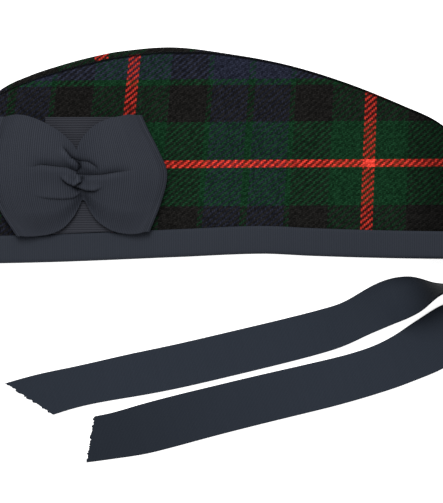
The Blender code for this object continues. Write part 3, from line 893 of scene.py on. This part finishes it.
# Two lengths of plainer ribbon are sewn at the back of the binding. They come round on edge, turn
# down flat and lie on the surface, with their ends cut on the slant and a little frayed.
TAIL_WIDTH = 0.0265
TAIL_COLOUR = (0.0117, 0.0154, 0.0225, 1.0)
TAIL_LIGHT = (0.0177, 0.0222, 0.0310, 1.0)
ROUTE_STEPS = 3000
SLANT_REACH = 0.053
FRAY = 0.0007
FRAY_THREADS = 200
FRAY_START = 0.992

# Each tail: its length, where it starts, the slant of its cut, and how many ribbons lie between it and
# the binding
TAILS = (
    ("tail_upper", 0.297, -0.0435, 0.0214, 0),
    ("tail_lower", 0.281, -0.0455, -0.0084, 1),
)

# From the back of the cap to the cut end: share of the length, degrees turned, degrees of tilt, how
# broad the ribbon is drawn, and the painted shade of its colour. The breadth is under 1 where the ribbon
# cups. Near the lower one's start it is well over 1, because it looks folded or doubled there and is one
# layer here. The painted shade is darkest where the upper one stands on edge, turned away from the light,
# and otherwise a little lighter or darker along each tail.
TAIL_WAYS = {
    "tail_upper": (
        (0.00, 0, 90, 1.0, 1.0), (0.028, 0, 90, 1.0, 1.0), (0.104, 78, 90, 1.0, 0.6),
        (0.160, 79, 75, 1.0, 0.22), (0.203, 75, 38, 1.0, 0.75), (0.235, 71, 20, 1.0, 0.98),
        (0.270, 64, 8, 0.96, 1.02), (0.32, 64, 6, 0.89, 1.08), (0.37, 73, 0, 0.93, 1.14),
        (0.45, 76, 0, 0.95, 1.20), (0.62, 77, 0, 0.96, 1.20), (0.72, 79, 0, 0.95, 1.20),
        (0.835, 77.5, 0, 0.89, 1.16), (0.93, 73, 0, 0.98, 1.12), (1.00, 74, 0, 1.0, 1.10),
    ),
    "tail_lower": (
        (0.00, 0, 90, 1.0, 1.1), (0.050, 0, 90, 1.0, 1.1), (0.130, 40, 62, 1.10, 1.1),
        (0.200, 53, 16, 1.22, 1.1), (0.263, 60, 0, 1.20, 1.15), (0.325, 65, 0, 1.08, 1.17),
        (0.39, 72, 0, 1.02, 1.2), (0.50, 76.5, 0, 1.04, 1.2), (0.70, 76, 0, 1.07, 1.08),
        (0.85, 75.5, 0, 1.09, 0.95), (0.93, 80, 0, 1.0, 0.9), (1.00, 83, 0, 0.97, 0.88),
    ),
}


def tail_sheet(rows, length, start, slant, seed):
    """Point function of a tail. across runs from the cap's side of the ribbon outwards."""
    steps = []
    x, y = start
    full = length + abs(slant)
    for k in range(ROUTE_STEPS + 1):
        share = k / ROUTE_STEPS
        direction = math.radians(-90.0 - read_rows(rows, share, 1))
        tilt = math.radians(min(max(read_rows(rows, share, 2), 0.0), 90.0))
        steps.append((x, y, direction, tilt, read_rows(rows, share, 3), read_rows(rows, share, 4)))
        x += math.cos(direction) * full / ROUTE_STEPS
        y += math.sin(direction) * full / ROUTE_STEPS
    chance = random.Random(seed)
    ragged = [chance.uniform(-1.0, 1.0) for _ in range(FRAY_THREADS)]

    def point(along, across):
        out = across - 0.5
        way = along * length
        way -= slant * out * ease((way - length + SLANT_REACH) / SLANT_REACH)
        frayed = ease((along - FRAY_START) / 0.008)
        way += FRAY * ragged[round(across * (FRAY_THREADS - 1))] * frayed
        x, y, direction, tilt, breadth, shade = steps[min(round(way / full * ROUTE_STEPS), ROUTE_STEPS)]
        to_cap = (math.sin(direction), -math.cos(direction))
        reach = out * TAIL_WIDTH * breadth
        z = RIBBON / 2 * math.cos(tilt) + TAIL_WIDTH / 2 * breadth * math.sin(tilt)
        flat_reach = reach * math.cos(tilt)
        place = Vector((x - to_cap[0] * flat_reach, y - to_cap[1] * flat_reach, z + reach * math.sin(tilt)))
        return place, (way, out * TAIL_WIDTH), shade

    return point


tail_ribbon = make_ribbon("tail_ribbon", TAIL_COLOUR, TAIL_LIGHT, 0.0008, 0.0001)
back_face = CAP_LENGTH / 2 + CLEARANCE + RIBBON
for seed, (name, length, start_y, slant, layers) in enumerate(TAILS):
    start_x = back_face + CLEARANCE + RIBBON / 2 + layers * (CLEARANCE + RIBBON)
    point = tail_sheet(TAIL_WAYS[name], length, (start_x, start_y), slant, seed)
    tail = cut_cloth(name + "_ribbon", 420, 40, point, RIBBON, 0.0)
    tail.data.materials.append(tail_ribbon)
    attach(tail, "root")
    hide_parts(name)


# The set: a plain white floor, even light from all round with one large soft lamp over the front
# of the cap, and a camera straight above at a long distance.
bm = bmesh.new()
bmesh.ops.create_grid(bm, x_segments=1, y_segments=1, size=15.0)
floor_mesh = bpy.data.meshes.new("floor")
bm.to_mesh(floor_mesh)
bm.free()
floor = bpy.data.objects.new("floor", floor_mesh)
floor.location.z = -0.0004
bpy.context.scene.collection.objects.link(floor)
paper = bpy.data.materials.new("white_paper")
paper.use_nodes = True
paper_shader = paper.node_tree.nodes["Principled BSDF"]
paper_shader.inputs["Base Color"].default_value = (0.93, 0.93, 0.93, 1.0)
paper_shader.inputs["Roughness"].default_value = 0.95
paper_shader.inputs["Specular IOR Level"].default_value = 0.1
paper_shader.inputs["Emission Color"].default_value = (1.0, 1.0, 1.0, 1.0)
paper_shader.inputs["Emission Strength"].default_value = 0.75
floor_mesh.materials.append(paper)

world = bpy.data.worlds.new("soft_room")
world.use_nodes = True
world.node_tree.nodes["Background"].inputs["Color"].default_value = (1.0, 1.0, 1.0, 1.0)
world.node_tree.nodes["Background"].inputs["Strength"].default_value = 0.7
bpy.context.scene.world = world

lamp_data = bpy.data.lights.new("soft_lamp", "AREA")
lamp_data.shape = "DISK"
lamp_data.size = 1.4
lamp_data.energy = 35.0
lamp = bpy.data.objects.new("soft_lamp", lamp_data)
lamp.location = (-0.25, 1.0, 1.7)
lamp.rotation_euler = (Vector((0.0, 0.0, 0.0)) - lamp.location).to_track_quat("-Z", "Y").to_euler()
bpy.context.scene.collection.objects.link(lamp)

FRAME_WIDTH = 0.257
FRAME_CENTRE = (-0.00435, -0.0502)
CAMERA_HEIGHT = 2.4
SEEN_HEIGHT = 0.008
camera_data = bpy.data.cameras.new("camera")
camera_data.sensor_fit = "HORIZONTAL"
camera_data.sensor_width = 36.0
camera_data.lens = camera_data.sensor_width * (CAMERA_HEIGHT - SEEN_HEIGHT) / FRAME_WIDTH
camera = bpy.data.objects.new("camera", camera_data)
camera.location = (FRAME_CENTRE[0], FRAME_CENTRE[1], CAMERA_HEIGHT)
bpy.context.scene.collection.objects.link(camera)
bpy.context.scene.camera = camera
bpy.context.scene.view_settings.view_transform = "Standard"
